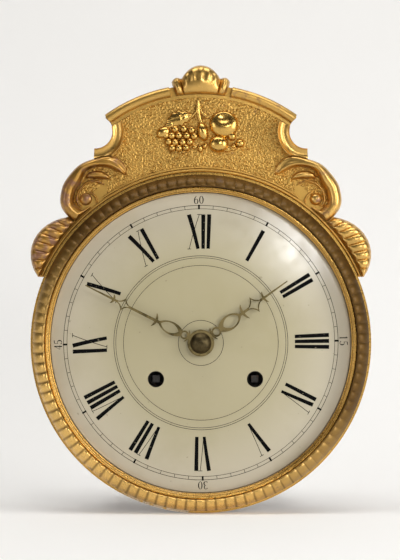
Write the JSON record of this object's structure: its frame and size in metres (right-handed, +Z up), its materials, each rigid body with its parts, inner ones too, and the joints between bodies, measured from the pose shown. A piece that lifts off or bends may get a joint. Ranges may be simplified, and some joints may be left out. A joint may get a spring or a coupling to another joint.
{
  "type": "shield clock",
  "caption": "Key-wound wall clock in a gilt carved shield: arched crest with fruit and shell, fluted ring, convex roman dial, skeleton hands and a gong-striking spring movement.",
  "frame": {"origin": "centre of the hole in the hanging plate, on the plane of the wall", "axes": "+X to the right seen from the front, +Y through the clock into the wall, +Z up; the dial faces -Y, and a turn that is clockwise from the front is positive about +Y"},
  "size_m": [0.2394, 0.1192, 0.3149],
  "materials": {
    "board_wood": "planed pine under gesso",
    "case_wood": "stained and waxed",
    "gilding": "carved, gessoed and water-gilt, worn to red bole",
    "gilding_dark": "gilt with a stippled ground",
    "dial_paint": "cream enamel paint, glossy, printed black figures",
    "hand_brass": "pierced and patinated",
    "plate_brass": "rolled and lacquered",
    "wheel_brass": "cut and polished",
    "steel": "turned",
    "blued_steel": "blued spring steel",
    "iron": "blackened"
  },
  "bodies": {
    "case": {"shield_board": "board_wood", "ring_frame": "gilding", "gadroon_band": "gilding", "crest_panel": "gilding_dark", "arch_rail": "gilding", "shell_finial": "gilding", "fruit_relief": "gilding", "side_coves": "gilding", "left_scroll": "gilding", "right_scroll": "gilding", "left_fan": "gilding", "right_fan": "gilding", "dial": "dial_paint", "minute_wheel_stud": "steel", "front_plate": "plate_brass", "back_plate": "plate_brass", "pillars": "plate_brass", "pillar_nuts": "steel", "dial_posts": "plate_brass", "back_cock": "plate_brass", "gong": "blued_steel", "gong_stand": "iron", "click_screws": "steel", "case_back": "case_wood", "case_boards": "case_wood", "door_hinge_pins": "steel", "hanger_plate": "iron", "hanger_screws": "steel"},
    "minute_hand": {"minute_hand": "hand_brass", "hand_nut": "hand_brass", "hand_washer": "hand_brass", "cannon_pinion": "steel"},
    "hour_hand": {"hour_hand": "hand_brass", "hour_wheel": "wheel_brass"},
    "minute_wheel": {"minute_wheel": "wheel_brass"},
    "going_barrel": {"going_barrel": "wheel_brass", "going_mainspring": "blued_steel"},
    "going_winding_arbor": {"going_winding_arbor": "steel"},
    "going_click": {"going_click": "steel"},
    "intermediate_wheel": {"intermediate_wheel": "wheel_brass"},
    "centre_wheel": {"centre_wheel": "wheel_brass"},
    "third_wheel": {"third_wheel": "wheel_brass"},
    "escape_wheel": {"escape_wheel": "wheel_brass"},
    "anchor": {"anchor": "steel"},
    "pendulum": {"pendulum_rod": "steel", "pendulum_bob": "wheel_brass", "rating_nut": "wheel_brass"},
    "strike_barrel": {"strike_barrel": "wheel_brass", "strike_mainspring": "blued_steel"},
    "strike_winding_arbor": {"strike_winding_arbor": "steel"},
    "strike_click": {"strike_click": "steel"},
    "pin_wheel": {"pin_wheel": "wheel_brass"},
    "locking_wheel": {"locking_wheel": "wheel_brass"},
    "warning_wheel": {"warning_wheel": "wheel_brass"},
    "fly": {"fly": "steel"},
    "count_wheel": {"count_wheel": "wheel_brass"},
    "locking_lever": {"locking_lever": "steel"},
    "hammer": {"hammer": "steel"},
    "left_door": {"left_door": "case_wood"},
    "right_door": {"right_door": "case_wood"}
  },
  "joints": [
    {"name": "minute_hand_turn", "type": "hinge", "parent": "case", "child": "minute_hand", "pos_m": [0, -0.112, -0.094], "axis": [0, 1, 0], "continuous": true},
    {"name": "hour_hand_turn", "type": "hinge", "parent": "case", "child": "hour_hand", "pos_m": [0, -0.109, -0.094], "axis": [0, 1, 0], "continuous": true},
    {"name": "minute_wheel_turn", "type": "hinge", "parent": "case", "child": "minute_wheel", "pos_m": [-0.01273, -0.08, -0.08127], "axis": [0, 1, 0], "continuous": true},
    {"name": "third_wheel_turn", "type": "hinge", "parent": "case", "child": "third_wheel", "pos_m": [0.00565, -0.049, -0.0729], "axis": [0, 1, 0], "continuous": true},
    {"name": "escape_wheel_turn", "type": "hinge", "parent": "case", "child": "escape_wheel", "pos_m": [0, -0.042, -0.05455], "axis": [0, 1, 0], "continuous": true},
    {"name": "centre_wheel_turn", "type": "hinge", "parent": "case", "child": "centre_wheel", "pos_m": [0, -0.057, -0.094], "axis": [0, 1, 0], "continuous": true},
    {"name": "intermediate_wheel_turn", "type": "hinge", "parent": "case", "child": "intermediate_wheel", "pos_m": [0.02396, -0.07, -0.09539], "axis": [0, 1, 0], "continuous": true},
    {"name": "going_barrel_turn", "type": "hinge", "parent": "case", "child": "going_barrel", "pos_m": [0.038, -0.055, -0.1195], "axis": [0, 1, 0], "continuous": true},
    {"name": "going_winding", "type": "hinge", "parent": "case", "child": "going_winding_arbor", "pos_m": [0.038, -0.055, -0.1195], "axis": [0, 1, 0], "range_deg": [0, 1440]},
    {"name": "going_click_lift", "type": "hinge", "parent": "case", "child": "going_click", "pos_m": [0.03219, -0.077, -0.13548], "axis": [0, -1, 0], "range_deg": [0, 12], "stiffness_Nm_per_rad": 0.002, "springref_deg": -11.46},
    {"name": "pendulum_swing", "type": "hinge", "parent": "case", "child": "pendulum", "pos_m": [0, -0.02, -0.04089], "axis": [0, 1, 0], "range_deg": [-4, 4]},
    {"name": "anchor_rock", "type": "hinge", "parent": "case", "child": "anchor", "pos_m": [0, -0.03, -0.04089], "axis": [0, 1, 0], "range_deg": [-4, 4]},
    {"name": "warning_wheel_turn", "type": "hinge", "parent": "case", "child": "warning_wheel", "pos_m": [-0.0229, -0.053, -0.05892], "axis": [0, 1, 0], "continuous": true},
    {"name": "fly_turn", "type": "hinge", "parent": "case", "child": "fly", "pos_m": [-0.03468, -0.045, -0.05212], "axis": [0, 1, 0], "continuous": true},
    {"name": "locking_wheel_turn", "type": "hinge", "parent": "case", "child": "locking_wheel", "pos_m": [-0.03046, -0.061, -0.07201], "axis": [0, 1, 0], "continuous": true},
    {"name": "pin_wheel_turn", "type": "hinge", "parent": "case", "child": "pin_wheel", "pos_m": [-0.03393, -0.068, -0.09171], "axis": [0, 1, 0], "continuous": true},
    {"name": "strike_barrel_turn", "type": "hinge", "parent": "case", "child": "strike_barrel", "pos_m": [-0.0315, -0.055, -0.1195], "axis": [0, 1, 0], "continuous": true},
    {"name": "count_wheel_turn", "type": "hinge", "parent": "case", "child": "count_wheel", "pos_m": [-0.0315, -0.029, -0.1195], "axis": [0, 1, 0], "continuous": true},
    {"name": "strike_winding", "type": "hinge", "parent": "case", "child": "strike_winding_arbor", "pos_m": [-0.0315, -0.055, -0.1195], "axis": [0, 1, 0], "range_deg": [0, 1440]},
    {"name": "strike_click_lift", "type": "hinge", "parent": "case", "child": "strike_click", "pos_m": [-0.03731, -0.077, -0.13548], "axis": [0, -1, 0], "range_deg": [0, 12], "stiffness_Nm_per_rad": 0.002, "springref_deg": -11.46},
    {"name": "locking_lever_lift", "type": "hinge", "parent": "case", "child": "locking_lever", "pos_m": [-0.05, -0.058, -0.064], "axis": [0, -1, 0], "range_deg": [0, 8]},
    {"name": "hammer_lift", "type": "hinge", "parent": "case", "child": "hammer", "pos_m": [-0.0552, -0.025, -0.094], "axis": [0, 1, 0], "range_deg": [0, 12], "stiffness_Nm_per_rad": 0.01, "springref_deg": -5.73},
    {"name": "right_door_swing", "type": "hinge", "parent": "case", "child": "right_door", "pos_m": [0.0745, -0.0115, -0.094], "axis": [0, 0, 1], "range_deg": [0, 95]},
    {"name": "left_door_swing", "type": "hinge", "parent": "case", "child": "left_door", "pos_m": [-0.0745, -0.0115, -0.094], "axis": [0, 0, -1], "range_deg": [0, 95]}
  ],
  "couplings": [
    {"joint": "hour_hand_turn", "follows": "minute_hand_turn", "ratio": 0.083333},
    {"joint": "minute_wheel_turn", "follows": "minute_hand_turn", "ratio": -0.33333},
    {"joint": "escape_wheel_turn", "follows": "third_wheel_turn", "ratio": -11},
    {"joint": "centre_wheel_turn", "follows": "third_wheel_turn", "ratio": -0.083333},
    {"joint": "intermediate_wheel_turn", "follows": "third_wheel_turn", "ratio": 0.0092593},
    {"joint": "going_barrel_turn", "follows": "third_wheel_turn", "ratio": -0.0011574},
    {"joint": "anchor_rock", "follows": "pendulum_swing", "ratio": 1},
    {"joint": "fly_turn", "follows": "warning_wheel_turn", "ratio": -7.5},
    {"joint": "locking_wheel_turn", "follows": "warning_wheel_turn", "ratio": -0.125},
    {"joint": "pin_wheel_turn", "follows": "warning_wheel_turn", "ratio": 0.013889},
    {"joint": "strike_barrel_turn", "follows": "warning_wheel_turn", "ratio": -0.0017361},
    {"joint": "count_wheel_turn", "follows": "warning_wheel_turn", "ratio": -0.0013889}
  ]
}
